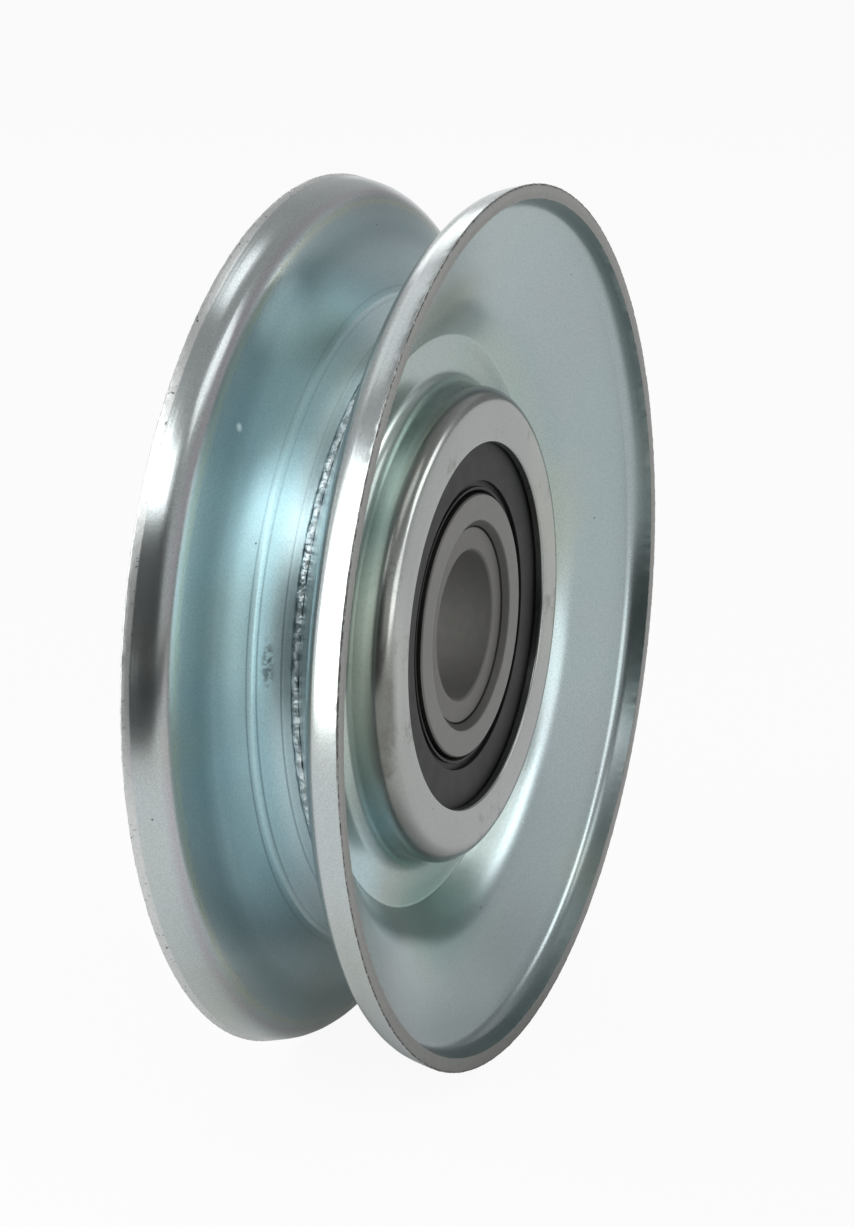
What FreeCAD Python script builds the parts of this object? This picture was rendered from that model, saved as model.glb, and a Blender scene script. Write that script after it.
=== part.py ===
import FreeCAD, Part
import os
import Sketcher

doc = FreeCAD.newDocument("grooved_pulley")

# Sizes of the pulley, in millimetres and degrees
sizes = [
    ("outer_diameter", 84.0),
    ("overall_width", 20.2),
    ("sheet_thickness", 1.6),
    ("floor_diameter", 56.0),
    ("floor_width", 5.76),
    ("floor_rise", 3.25),
    ("wall_angle", 21.0),
    ("lip_flare", 14.0),
    ("lip_edge", 1.4),
    ("lip_bend", 1.5),
    ("floor_bend", 0.5),
    ("seam_round", 2.1),
    ("ledge_bend", 0.5),
    ("hub_wall", 2.15),
    ("hub_base_bend", 1.45),
    ("hub_shoulder", 1.7),
    ("hub_lip_reach", 3.09),
    ("hub_lip_thickness", 0.75),
    ("hub_lip_round", 0.25),
    ("seat_round", 0.5),
    ("bearing_outer_diameter", 41.275),
    ("bearing_bore", 19.05),
    ("bearing_width", 11.112),
    ("bearing_outer_chamfer", 0.6),
    ("bearing_bore_chamfer", 0.6),
    ("inner_edge_break", 0.15),
    ("seal_seat_step", 0.45),
    ("seal_groove_step", 0.8),
    ("seal_depth", 0.25),
    ("seal_thickness", 0.8),
    ("seal_seat_clearance", 0.02),
    ("seal_lip_clearance", 0.1),
    ("seal_lip_width", 0.5),
    ("seal_lip_drop", 0.16),
    ("seal_channel_width", 0.6),
    ("seal_channel_depth", 0.5),
    ("ball_diameter", 7.144),
    ("ball_count", 8),
    ("ball_clearance", 0.02),
    ("track_depth", 1.14),
    ("track_conformity", 1.04),
    ("cage_thickness", 0.5),
    ("cage_ring_clearance", 0.45),
    ("cage_ball_clearance", 0.12),
    ("rivet_diameter", 1.0),
    ("rivet_head_diameter", 1.7),
    ("rivet_head_height", 0.35),
    ("sleeve_bore", 14.2875),
    ("sleeve_length", 9.7),
    ("sleeve_bore_chamfer", 0.2),
    ("sleeve_edge_break", 0.2),
]
sheet = doc.addObject("Spreadsheet::Sheet", "sheet")
row = 1
for name, value in sizes:
    sheet.set("A" + str(row), name)
    sheet.set("B" + str(row), str(value))
    sheet.setAlias("B" + str(row), name)
    row += 1
doc.recompute()


# Where lines and circles are first drawn, before their constraints move them
outOfSketch = FreeCAD.Vector(0, 0, 1)
roughCentre = FreeCAD.Vector(15, 0, 0)
roughReach = FreeCAD.Vector(4, 0, 0)


def originPart(body, role):
    for item in body.Origin.OriginFeatures:
        if item.Role == role:
            return item
    raise RuntimeError("no " + role + " in " + body.Label)


def newBody(label):
    body = doc.addObject("PartDesign::Body", label)
    body.Label = label
    return body


def newSketch(body, label):
    sketch = body.newObject("Sketcher::SketchObject", label)
    sketch.AttachmentSupport = [(originPart(body, "XY_Plane"), "")]
    sketch.MapMode = "FlatFace"
    return sketch


def fixPoint(sketch, geometry, end, tag, radius, height):
    # A point is held by its distance from the pulley axis and from the middle plane
    for kind, letter, formula in (("DistanceX", "radius", radius), ("DistanceY", "height", height)):
        index = sketch.addConstraint(Sketcher.Constraint(kind, geometry, end, 1.0))
        sketch.renameConstraint(index, letter + tag)
        sketch.setExpression("Constraints." + letter + tag, formula)


def addLoop(sketch, corners):
    # Closed run of straight lines through the named corners, first drawn as a rough ring
    first = sketch.GeometryCount
    count = len(corners)
    rough = []
    for step in range(count):
        turn = FreeCAD.Rotation(outOfSketch, 360.0 * step / count)
        rough.append(roughCentre + turn.multVec(roughReach))
    for step in range(count):
        sketch.addGeometry(Part.LineSegment(rough[step], rough[(step + 1) % count]), False)
    for step in range(count):
        following = first + (step + 1) % count
        sketch.addConstraint(Sketcher.Constraint("Coincident", first + step, 2, following, 1))
    places = {}
    for step, (corner, radius, height) in enumerate(corners):
        fixPoint(sketch, first + step, 1, "_" + corner, radius, height)
        places[corner] = first + step
    doc.recompute()
    return places


def spin(body, label, sketch, kind, axis=None):
    feature = body.newObject("PartDesign::" + kind, label)
    feature.Profile = sketch
    feature.ReferenceAxis = axis if axis else (sketch, ["V_Axis"])
    feature.Angle = 360.0
    sketch.Visibility = False
    doc.recompute()
    return feature


def ringEdges(shape, radius, height):
    found = []
    for number, edge in enumerate(shape.Edges, 1):
        curve = edge.Curve
        if not isinstance(curve, Part.Circle):
            continue
        if abs(curve.Radius - radius) < 0.0005 and abs(curve.Center.y - height) < 0.0005:
            found.append("Edge" + str(number))
    return found


def soften(body, label, kind, base, sketch, places, corners, size):
    # Round or bevel the circular edges that the named sketch corners sweep out
    names = []
    for corner in corners:
        point = sketch.getPoint(places[corner], 1)
        names += ringEdges(base.Shape, point.x, point.y)
    if len(names) != len(corners):
        raise RuntimeError(label + " found " + str(len(names)) + " edges")
    feature = body.newObject("PartDesign::" + kind, label)
    feature.Base = (base, names)
    feature.setExpression("Radius" if kind == "Fillet" else "Size", size)
    doc.recompute()
    return feature


def repeat(body, label, feature):
    pattern = body.newObject("PartDesign::PolarPattern", label)
    pattern.Originals = [feature]
    pattern.Axis = (originPart(body, "Y_Axis"), [""])
    pattern.Angle = 360.0
    pattern.setExpression("Occurrences", "sheet.ball_count")
    body.Tip = pattern
    doc.recompute()
    return pattern


turnedRound = FreeCAD.Placement(FreeCAD.Vector(), FreeCAD.Rotation(FreeCAD.Vector(1, 0, 0), 180))
upright = FreeCAD.Placement()

# Pressed half: turned lip, belt wall, sloping floor, flat ledge and hub drawn from one sheet.
# Corners run along the belt side from the cut edge to the hub, then back along the outside.
rim = "sheet.outer_diameter / 2"
halfWidth = "sheet.overall_width / 2"
sheetGauge = "sheet.sheet_thickness"
floor = "sheet.floor_diameter / 2"
floorEnd = "sheet.floor_width / 2"
wallSlope = "tan(sheet.wall_angle * 1 deg)"
flareSlope = "tan(sheet.lip_flare * 1 deg)"
seat = "sheet.bearing_outer_diameter / 2"
hubOut = seat + " + sheet.hub_wall"
ringFace = "(sheet.bearing_width / 2)"
hubFace = ringFace + " + sheet.hub_lip_thickness"
opening = seat + " - sheet.hub_lip_reach"
bothSlopes = "(1 - " + wallSlope + " * " + flareSlope + ")"

# The floor slopes from the seam up to the foot of the wall, so the two halves meet in a V.
# The outside of the sheet runs one gauge away from it, along the halved angles at its corners.
wallFoot = "(" + floor + " + sheet.floor_rise)"
floorAngle = "atan(" + floorEnd + " / sheet.floor_rise)"
footTurn = "((" + floorAngle + " + sheet.wall_angle * 1 deg) / 2)"
footSpread = "((" + floorAngle + " - sheet.wall_angle * 1 deg) / 2)"
innerFloor = "(" + floor + " - " + sheetGauge + " * tan(" + floorAngle + " / 2))"
innerWallFoot = "(" + wallFoot + " - " + sheetGauge + " * sin" + footTurn + " / cos" + footSpread + ")"
innerWallStart = "(" + floorEnd + " + " + sheetGauge + " * cos" + footTurn + " / cos" + footSpread + ")"
innerRim = "(" + rim + " - sheet.lip_edge)"


def bendRadius(lipStart, wallRadius, wallHeight):
    drop = halfWidth + " - " + wallHeight + " + " + wallRadius + " * " + wallSlope
    return "((" + lipStart + " - (" + drop + ") * " + flareSlope + ") / " + bothSlopes + ")"


def bendHeight(bend, wallRadius, wallHeight):
    return wallHeight + " + (" + bend + " - " + wallRadius + ") * " + wallSlope


beltBend = bendRadius(rim, wallFoot, floorEnd)
outsideBend = bendRadius(innerRim, innerWallFoot, innerWallStart)
halfCorners = [
    ("cut_edge", rim, halfWidth),
    ("belt_lip_bend", beltBend, bendHeight(beltBend, wallFoot, floorEnd)),
    ("belt_floor_bend", wallFoot, floorEnd),
    ("seam", floor, "0"),
    ("hub_inside_bend", seat, "0"),
    ("seat_end", seat, ringFace),
    ("hub_lip_back", opening, ringFace),
    ("hub_lip_edge", opening, hubFace),
    ("hub_shoulder", hubOut, hubFace),
    ("hub_outside_bend", hubOut, sheetGauge),
    ("ledge_corner", innerFloor, sheetGauge),
    ("outside_floor_bend", innerWallFoot, innerWallStart),
    ("outside_lip_bend", outsideBend, bendHeight(outsideBend, innerWallFoot, innerWallStart)),
    ("cut_edge_inside", innerRim, halfWidth),
]
halfRounds = [
    ("belt_lip_bend", "sheet.lip_bend + sheet.sheet_thickness"),
    ("outside_lip_bend", "sheet.lip_bend"),
    ("belt_floor_bend", "sheet.floor_bend"),
    ("outside_floor_bend", "sheet.floor_bend + sheet.sheet_thickness"),
    ("seam", "sheet.seam_round"),
    ("ledge_corner", "sheet.ledge_bend"),
    ("hub_inside_bend", "sheet.hub_base_bend + sheet.sheet_thickness"),
    ("hub_outside_bend", "sheet.hub_base_bend"),
    ("seat_end", "sheet.seat_round"),
    ("hub_shoulder", "sheet.hub_shoulder"),
    ("hub_lip_edge", "sheet.hub_lip_round"),
]


def pressedHalf(label, place):
    body = newBody(label)
    sketch = newSketch(body, label + "_section")
    places = addLoop(sketch, halfCorners)
    feature = spin(body, label + "_sheet", sketch, "Revolution")
    for corner, size in halfRounds:
        name = label + "_" + corner + "_round"
        feature = soften(body, name, "Fillet", feature, sketch, places, [corner], size)
    body.Placement = place
    return body


nodes = []
nodes.append(pressedHalf("front_half", turnedRound))
nodes.append(pressedHalf("rear_half", upright))

# Ball bearing: two races with a ball track between them
pitch = "((sheet.bearing_outer_diameter + sheet.bearing_bore) / 4)"
ball = "sheet.ball_diameter / 2"
track = ball + " * sheet.track_conformity"
innerShoulder = "(" + pitch + " - " + ball + " + sheet.track_depth)"
outerShoulder = "(" + pitch + " + " + ball + " - sheet.track_depth)"
boreRadius = "sheet.bearing_bore / 2"
sealOutside = "(" + ringFace + " - sheet.seal_depth)"
sealInside = "(" + sealOutside + " - sheet.seal_thickness)"
sealSeat = outerShoulder + " + sheet.seal_seat_step"
sealGroove = outerShoulder + " + sheet.seal_groove_step"


def ballTrack(body, label, centre):
    sketch = newSketch(body, label)
    sketch.addGeometry(Part.Circle(roughCentre, outOfSketch, roughReach.x), False)
    fixPoint(sketch, 0, 3, "_centre", centre, "0")
    index = sketch.addConstraint(Sketcher.Constraint("Radius", 0, roughReach.x))
    sketch.renameConstraint(index, "track_radius")
    sketch.setExpression("Constraints.track_radius", track)
    doc.recompute()
    return spin(body, label + "_groove", sketch, "Groove")


outerRace = newBody("outer_race")
outerSection = newSketch(outerRace, "outer_race_section")
sealStep = [
    ("shoulder", outerShoulder, sealInside),
    ("groove_in", sealGroove, sealInside),
    ("groove_out", sealGroove, sealOutside),
    ("seat_in", sealSeat, sealOutside),
    ("seat_out", sealSeat, ringFace),
]
outerCorners = [("front_rim", seat, "-" + ringFace)]
outerCorners += [("front_" + corner, radius, "-" + height) for corner, radius, height in reversed(sealStep)]
outerCorners += [("rear_" + corner, radius, height) for corner, radius, height in sealStep]
outerCorners += [("rear_rim", seat, ringFace)]
outerPlaces = addLoop(outerSection, outerCorners)
outerTip = spin(outerRace, "outer_race_ring", outerSection, "Revolution")
soften(outerRace, "outer_race_bevel", "Chamfer", outerTip, outerSection, outerPlaces,
       ["front_rim", "rear_rim"], "sheet.bearing_outer_chamfer")
ballTrack(outerRace, "outer_race_track", pitch + " + " + ball + " + sheet.ball_clearance - " + track)
nodes.append(outerRace)

innerRace = newBody("inner_race")
innerSection = newSketch(innerRace, "inner_race_section")
innerPlaces = addLoop(innerSection, [
    ("front_bore", boreRadius, "-" + ringFace),
    ("front_shoulder", innerShoulder, "-" + ringFace),
    ("rear_shoulder", innerShoulder, ringFace),
    ("rear_bore", boreRadius, ringFace),
])
innerTip = spin(innerRace, "inner_race_ring", innerSection, "Revolution")
innerTip = soften(innerRace, "inner_race_bore_bevel", "Chamfer", innerTip, innerSection, innerPlaces,
                  ["front_bore", "rear_bore"], "sheet.bearing_bore_chamfer")
soften(innerRace, "inner_race_edge_break", "Chamfer", innerTip, innerSection, innerPlaces,
       ["front_shoulder", "rear_shoulder"], "sheet.inner_edge_break")
ballTrack(innerRace, "inner_race_track", pitch + " - " + ball + " - sheet.ball_clearance + " + track)
nodes.append(innerRace)

# Balls on the pitch circle, the first one at the side
ballCount = int(sheet.get("ball_count"))
for number in range(ballCount):
    ballNode = doc.addObject("Part::Sphere", "ball_" + str(number + 1))
    ballNode.Label = "ball_" + str(number + 1)
    ballNode.setExpression("Radius", ball)
    share = "(" + str(number) + " * 360 / sheet.ball_count * 1 deg)"
    ballNode.setExpression("Placement.Base.x", pitch + " * cos" + share)
    ballNode.setExpression("Placement.Base.z", pitch + " * sin" + share)
    nodes.append(ballNode)

# Ribbon cage: a flat ring drawn up into a cup over every ball, two halves riveted between the balls
cageInner = innerShoulder + " + sheet.cage_ring_clearance"
cageOuter = outerShoulder + " - sheet.cage_ring_clearance"
cupInside = "(" + ball + " + sheet.cage_ball_clearance)"
cupOutside = "(" + cupInside + " + sheet.cage_thickness)"
cageTop = cupOutside + " + sheet.cage_thickness"
betweenBalls = "180 deg / sheet.ball_count"


def cupSketch(body, label, radius):
    # Quarter disc beside the line through the ball centre, which it is turned about
    sketch = newSketch(body, label)
    top = roughCentre + FreeCAD.Vector(0, roughReach.x, 0)
    side = roughCentre + roughReach
    middle = roughCentre + (side + top - roughCentre * 2) * 0.5 ** 0.5
    stem = sketch.addGeometry(Part.LineSegment(roughCentre, top), False)
    level = sketch.addGeometry(Part.LineSegment(roughCentre, side), False)
    arc = sketch.addGeometry(Part.Arc(side, middle, top), False)
    axis = sketch.addGeometry(Part.LineSegment(roughCentre, top), True)
    sketch.addConstraint(Sketcher.Constraint("Coincident", stem, 1, level, 1))
    sketch.addConstraint(Sketcher.Constraint("Coincident", stem, 1, arc, 3))
    sketch.addConstraint(Sketcher.Constraint("Coincident", level, 2, arc, 1))
    sketch.addConstraint(Sketcher.Constraint("Coincident", stem, 2, arc, 2))
    sketch.addConstraint(Sketcher.Constraint("Coincident", axis, 1, stem, 1))
    sketch.addConstraint(Sketcher.Constraint("Coincident", axis, 2, stem, 2))
    sketch.addConstraint(Sketcher.Constraint("Vertical", stem))
    sketch.addConstraint(Sketcher.Constraint("Horizontal", level))
    fixPoint(sketch, stem, 1, "_centre", pitch, "0")
    index = sketch.addConstraint(Sketcher.Constraint("Radius", arc, roughReach.x))
    sketch.renameConstraint(index, "cup_radius")
    sketch.setExpression("Constraints.cup_radius", radius)
    doc.recompute()
    return sketch


def ringBand(inner, outer, low, high, side):
    return [(side + "_inner_low", inner, low), (side + "_outer_low", outer, low),
            (side + "_outer_high", outer, high), (side + "_inner_high", inner, high)]


def cageHalf(label, place):
    body = newBody(label)
    ringSketch = newSketch(body, label + "_ring_section")
    addLoop(ringSketch, ringBand(cageInner, cageOuter, "0", "sheet.cage_thickness", "ring"))
    spin(body, label + "_ring", ringSketch, "Revolution")
    cup = cupSketch(body, label + "_cup_section", cupOutside)
    cups = spin(body, label + "_cup", cup, "Revolution", (cup, ["Axis0"]))
    repeat(body, label + "_cups", cups)
    hollow = cupSketch(body, label + "_hollow_section", cupInside)
    hollows = spin(body, label + "_hollow", hollow, "Groove", (hollow, ["Axis0"]))
    repeat(body, label + "_hollows", hollows)
    trimSketch = newSketch(body, label + "_trim_section")
    addLoop(trimSketch, ringBand(boreRadius, cageInner, "-sheet.cage_thickness", cageTop, "inside"))
    addLoop(trimSketch, ringBand(cageOuter, seat, "-sheet.cage_thickness", cageTop, "outside"))
    spin(body, label + "_trim", trimSketch, "Groove")
    holeSketch = body.newObject("Sketcher::SketchObject", label + "_rivet_hole")
    holeSketch.AttachmentSupport = [(originPart(body, "XZ_Plane"), "")]
    holeSketch.MapMode = "FlatFace"
    holeSketch.addGeometry(Part.Circle(roughCentre, outOfSketch, roughReach.x), False)
    across = pitch + " * cos(" + betweenBalls + ")"
    along = pitch + " * sin(" + betweenBalls + ")"
    fixPoint(holeSketch, 0, 3, "_hole", across, along)
    index = holeSketch.addConstraint(Sketcher.Constraint("Radius", 0, roughReach.x))
    holeSketch.renameConstraint(index, "hole_radius")
    holeSketch.setExpression("Constraints.hole_radius", "sheet.rivet_diameter / 2")
    doc.recompute()
    hole = body.newObject("PartDesign::Pocket", label + "_hole")
    hole.Profile = holeSketch
    hole.Type = "ThroughAll"
    hole.Midplane = True
    holeSketch.Visibility = False
    doc.recompute()
    repeat(body, label + "_holes", hole)
    body.Placement = place
    return body


nodes.append(cageHalf("cage_front", turnedRound))
nodes.append(cageHalf("cage_rear", upright))

rivets = newBody("cage_rivets")
rivetSketch = newSketch(rivets, "rivet_section")
shank = pitch + " + sheet.rivet_diameter / 2"
head = pitch + " + sheet.rivet_head_diameter / 2"
grip = "sheet.cage_thickness"
headTop = "(sheet.cage_thickness + sheet.rivet_head_height)"
rivetPlaces = addLoop(rivetSketch, [
    ("front_middle", pitch, "-" + headTop),
    ("front_head", head, "-" + headTop),
    ("front_head_under", head, "-" + grip),
    ("front_shank", shank, "-" + grip),
    ("rear_shank", shank, grip),
    ("rear_head_under", head, grip),
    ("rear_head", head, headTop),
    ("rear_middle", pitch, headTop),
])
rivetAxis = rivetSketch.addGeometry(Part.LineSegment(roughCentre, roughCentre + roughReach), True)
rivetSketch.addConstraint(Sketcher.Constraint("Coincident", rivetAxis, 1, rivetPlaces["front_middle"], 1))
rivetSketch.addConstraint(Sketcher.Constraint("Coincident", rivetAxis, 2, rivetPlaces["rear_middle"], 1))
doc.recompute()
rivetSolid = spin(rivets, "rivet", rivetSketch, "Revolution", (rivetSketch, ["Axis0"]))
repeat(rivets, "rivet_ring", rivetSolid)
rivets.Placement.Rotation.Axis = FreeCAD.Vector(0, 1, 0)
rivets.setExpression("Placement.Rotation.Angle", betweenBalls)
nodes.append(rivets)

# Rubber seals: a bead held in the outer race, a flat face and a thin lip beside the inner race
sealBead = sealGroove + " - sheet.seal_seat_clearance"
sealRim = sealSeat + " - sheet.seal_seat_clearance"
lipTip = innerShoulder + " + sheet.seal_lip_clearance"
lipBack = lipTip + " + sheet.seal_lip_width"
channelEnd = lipBack + " + sheet.seal_channel_width"
channelFloor = sealOutside + " - sheet.seal_channel_depth"
lipTop = sealOutside + " - sheet.seal_lip_drop"
beadInside = sealInside + " + sheet.seal_seat_clearance"
beadOutside = sealOutside + " - sheet.seal_seat_clearance"
sealCorners = [
    ("lip_tip", lipTip, sealInside),
    ("bead_in", sealBead, beadInside),
    ("bead_out", sealBead, beadOutside),
    ("rim_in", sealRim, beadOutside),
    ("rim_out", sealRim, sealOutside),
    ("channel_top", channelEnd, sealOutside),
    ("channel_foot", channelEnd, channelFloor),
    ("lip_foot", lipBack, channelFloor),
    ("lip_back", lipBack, lipTop),
    ("lip_crest", lipTip + " + sheet.seal_lip_width / 2", lipTop),
    ("lip_front", lipTip, channelFloor),
]


def sealRing(label, place):
    body = newBody(label)
    sketch = newSketch(body, label + "_section")
    addLoop(sketch, sealCorners)
    spin(body, label + "_ring", sketch, "Revolution")
    body.Placement = place
    return body


nodes.append(sealRing("front_seal", turnedRound))
nodes.append(sealRing("rear_seal", upright))

# Sleeve that brings the bearing bore down to the bolt
sleeve = newBody("sleeve")
sleeveSection = newSketch(sleeve, "sleeve_section")
sleeveBore = "sheet.sleeve_bore / 2"
sleeveEnd = "sheet.sleeve_length / 2"
sleevePlaces = addLoop(sleeveSection, [
    ("front_bore", sleeveBore, "-" + sleeveEnd),
    ("front_edge", boreRadius, "-" + sleeveEnd),
    ("rear_edge", boreRadius, sleeveEnd),
    ("rear_bore", sleeveBore, sleeveEnd),
])
sleeveTip = spin(sleeve, "sleeve_tube", sleeveSection, "Revolution")
sleeveTip = soften(sleeve, "sleeve_bore_bevel", "Chamfer", sleeveTip, sleeveSection, sleevePlaces,
                   ["front_bore", "rear_bore"], "sheet.sleeve_bore_chamfer")
soften(sleeve, "sleeve_edge_bevel", "Chamfer", sleeveTip, sleeveSection, sleevePlaces,
       ["front_edge", "rear_edge"], "sheet.sleeve_edge_break")
nodes.append(sleeve)

doc.recompute()
for item in doc.Objects:
    if "Invalid" in item.State or "Error" in item.State:
        raise RuntimeError(item.Label + " is not sound")
os.makedirs("parts", exist_ok=True)
for node in nodes:
    if node.Shape.isNull() or not node.Shape.isValid():
        raise RuntimeError(node.Label + " has no valid shape")
    node.Shape.exportStep("parts/" + node.Label + ".step")
    print(node.Label, len(node.Shape.Solids), round(node.Shape.Volume, 2))
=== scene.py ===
import math
import bmesh
import bpy
from mathutils import Matrix, Vector, noise


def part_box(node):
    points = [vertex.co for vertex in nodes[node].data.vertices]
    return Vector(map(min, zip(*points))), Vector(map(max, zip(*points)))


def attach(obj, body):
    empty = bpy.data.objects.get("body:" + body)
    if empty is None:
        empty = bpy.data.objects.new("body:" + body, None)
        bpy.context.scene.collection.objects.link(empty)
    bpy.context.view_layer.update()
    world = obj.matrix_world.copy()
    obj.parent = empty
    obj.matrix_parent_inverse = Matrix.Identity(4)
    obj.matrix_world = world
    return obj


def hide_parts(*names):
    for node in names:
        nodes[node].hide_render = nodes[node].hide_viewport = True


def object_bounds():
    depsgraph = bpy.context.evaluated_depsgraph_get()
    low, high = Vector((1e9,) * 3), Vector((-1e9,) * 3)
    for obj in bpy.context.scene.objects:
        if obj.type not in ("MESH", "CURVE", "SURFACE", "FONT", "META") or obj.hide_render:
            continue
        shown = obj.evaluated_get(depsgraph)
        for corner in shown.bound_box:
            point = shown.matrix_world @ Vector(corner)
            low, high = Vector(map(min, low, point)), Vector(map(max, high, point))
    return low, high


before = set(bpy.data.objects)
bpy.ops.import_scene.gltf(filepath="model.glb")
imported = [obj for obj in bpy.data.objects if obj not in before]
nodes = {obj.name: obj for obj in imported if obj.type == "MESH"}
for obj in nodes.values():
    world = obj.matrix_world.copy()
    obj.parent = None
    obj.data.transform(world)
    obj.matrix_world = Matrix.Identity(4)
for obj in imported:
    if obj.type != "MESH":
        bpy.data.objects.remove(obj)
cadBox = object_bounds()
mm = 0.001
print("frame loaded,", len(nodes), "nodes")


# small helpers for meshes

# lengths in mm, the turn in radians, the angle in degrees
meshing = {"fewestSteps": 3, "arcLength": 0.5, "arcTurn": 0.22, "sharpAngle": 38}


def roundedSection(corners):
    # corner: radius, height, rounding, spacing of the run after it (all mm)
    points = []
    count = len(corners)
    for i, (radius, height, rounding, spacing) in enumerate(corners):
        here = Vector((radius, height))
        back = (Vector(corners[i - 1][:2]) - here).normalized()
        ahead = (Vector(corners[(i + 1) % count][:2]) - here).normalized()
        half = back.angle(ahead) / 2
        if rounding > 0:
            reach = rounding / math.tan(half)
            centre = here + (back + ahead).normalized() * rounding / math.sin(half)
            first = here + back * reach - centre
            sweep = math.pi - 2 * half
            turn = 1 if back.cross(ahead) < 0 else -1
            steps = max(meshing["fewestSteps"], math.ceil(sweep * rounding / meshing["arcLength"]),
                        math.ceil(sweep / meshing["arcTurn"]))
            for k in range(steps + 1):
                arm = first.copy()
                arm.rotate(Matrix.Rotation(turn * sweep * k / steps, 2))
                points.append((centre + arm, spacing if k == steps else 0))
        else:
            points.append((here, spacing))
    filled = []
    for i, (point, spacing) in enumerate(points):
        filled.append(point)
        if spacing:
            run = points[(i + 1) % len(points)][0] - point
            pieces = max(1, round(run.length / spacing))
            filled += [point + run * k / pieces for k in range(1, pieces)]
    return filled


def mirroredRun(corners, spacing):
    # the same corners on the other side of the middle plane, in the order that goes on round the section
    return [(radius, -height, rounding, spacing) for radius, height, rounding, _ in reversed(corners)]


def spinRing(name, section, turns, side=1, nudge=None):
    # closed section spun about the Y axis, side -1 makes the front copy
    verts, faces = [], []
    count = len(section)
    for turn in range(turns):
        angle = 2 * math.pi * turn / turns
        for radius, height in section:
            if nudge:
                radius, height = nudge(radius, height, angle)
            verts.append((radius * math.cos(angle) * mm, side * height * mm, radius * math.sin(angle) * mm))
    for turn in range(turns):
        here, there = turn * count, (turn + 1) % turns * count
        for k in range(count):
            after = (k + 1) % count
            faces.append((here + k, here + after, there + after, there + k))
    mesh = bpy.data.meshes.new(name)
    mesh.from_pydata(verts, [], faces)
    shaped = bmesh.new()
    shaped.from_mesh(mesh)
    bmesh.ops.recalc_face_normals(shaped, faces=shaped.faces)
    shaped.to_mesh(mesh)
    shaped.free()
    mesh.shade_smooth()
    mesh.set_sharp_from_angle(angle=math.radians(meshing["sharpAngle"]))
    piece = bpy.data.objects.new(name, mesh)
    bpy.context.scene.collection.objects.link(piece)
    return piece


def dress(piece, body, node, material):
    piece.data.materials.append(material)
    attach(piece, body)
    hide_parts(node)


def smoothStep(low, high, value):
    share = min(1, max(0, (value - low) / (high - low)))
    return share * share * (3 - 2 * share)


def noiseSum(spot, layers):
    return sum(share * noise.noise(spot * scale) for scale, share in layers)


def below(level, depths):
    return [level - depth for depth in depths]


# small helpers for shader nodes

def addNode(tree, kind, **settings):
    made = tree.nodes.new(kind)
    for key, value in settings.items():
        setattr(made, key, value)
    return made


def feed(tree, target, source):
    # a socket is linked, anything else becomes the value of the input
    if isinstance(source, bpy.types.NodeSocket):
        tree.links.new(source, target)
    elif source is not None:
        target.default_value = source


def maths(tree, operation, a, b=None, c=None):
    made = addNode(tree, "ShaderNodeMath", operation=operation)
    for socket, value in zip(made.inputs, (a, b, c)):
        feed(tree, socket, value)
    return made.outputs[0]


def times(tree, a, b):
    return maths(tree, "MULTIPLY", a, b)


def ramp(tree, value, low, high, lowTo=0.0, highTo=1.0):
    made = addNode(tree, "ShaderNodeMapRange", interpolation_type="SMOOTHSTEP")
    for name, source in (("Value", value), ("From Min", low), ("From Max", high),
                         ("To Min", lowTo), ("To Max", highTo)):
        feed(tree, made.inputs[name], source)
    return made.outputs[0]


def band(tree, value, low, middle, high):
    # rises to the middle and falls again
    return times(tree, ramp(tree, value, low, middle), ramp(tree, value, high, middle))


def blend(tree, share, a, b):
    made = addNode(tree, "ShaderNodeMix", data_type="RGBA")
    for socket, source in ((0, share), (6, a), (7, b)):  # sockets of the factor and the two colours
        feed(tree, made.inputs[socket], source)
    return made.outputs[2]


def blendValue(tree, share, a, b):
    made = addNode(tree, "ShaderNodeMix", data_type="FLOAT")
    for socket, source in ((0, share), (2, a), (3, b)):  # sockets of the factor and the two numbers
        feed(tree, made.inputs[socket], source)
    return made.outputs[0]


def vectorMaths(tree, operation, a, b=None):
    made = addNode(tree, "ShaderNodeVectorMath", operation=operation)
    feed(tree, made.inputs[0], a)
    feed(tree, made.inputs["Scale"] if operation == "SCALE" else made.inputs[1], b)
    return made.outputs["Value"] if operation == "LENGTH" else made.outputs[0]


def splitVector(tree, vector):
    parts = addNode(tree, "ShaderNodeSeparateXYZ")
    feed(tree, parts.inputs[0], vector)
    return parts.outputs[0], parts.outputs[1], parts.outputs[2]


def patch(tree, where, spot, reach):
    # soft patch about a spot, with its reach along x, y and z, full in the inner fifth
    away = vectorMaths(tree, "DIVIDE", vectorMaths(tree, "SUBTRACT", where, spot), reach)
    return ramp(tree, vectorMaths(tree, "LENGTH", away), 1.0, 0.2)


def noiseValue(tree, vector, scale, detail=2.0, roughness=0.5):
    made = addNode(tree, "ShaderNodeTexNoise")
    for name, source in (("Vector", vector), ("Scale", scale), ("Detail", detail), ("Roughness", roughness)):
        feed(tree, made.inputs[name], source)
    return made.outputs[0]


def newGroup(name, inputs, outputs):
    group = bpy.data.node_groups.new(name, "ShaderNodeTree")
    for label, kind, value in inputs:
        group.interface.new_socket(label, in_out="INPUT", socket_type=kind).default_value = value
    for label, kind in outputs:
        group.interface.new_socket(label, in_out="OUTPUT", socket_type=kind)
    return group, group.nodes.new("NodeGroupInput").outputs, group.nodes.new("NodeGroupOutput").inputs


def place(tree, group, **values):
    made = addNode(tree, "ShaderNodeGroup", node_tree=group)
    for key, value in values.items():
        feed(tree, made.inputs[key], value)
    return made.outputs


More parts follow.
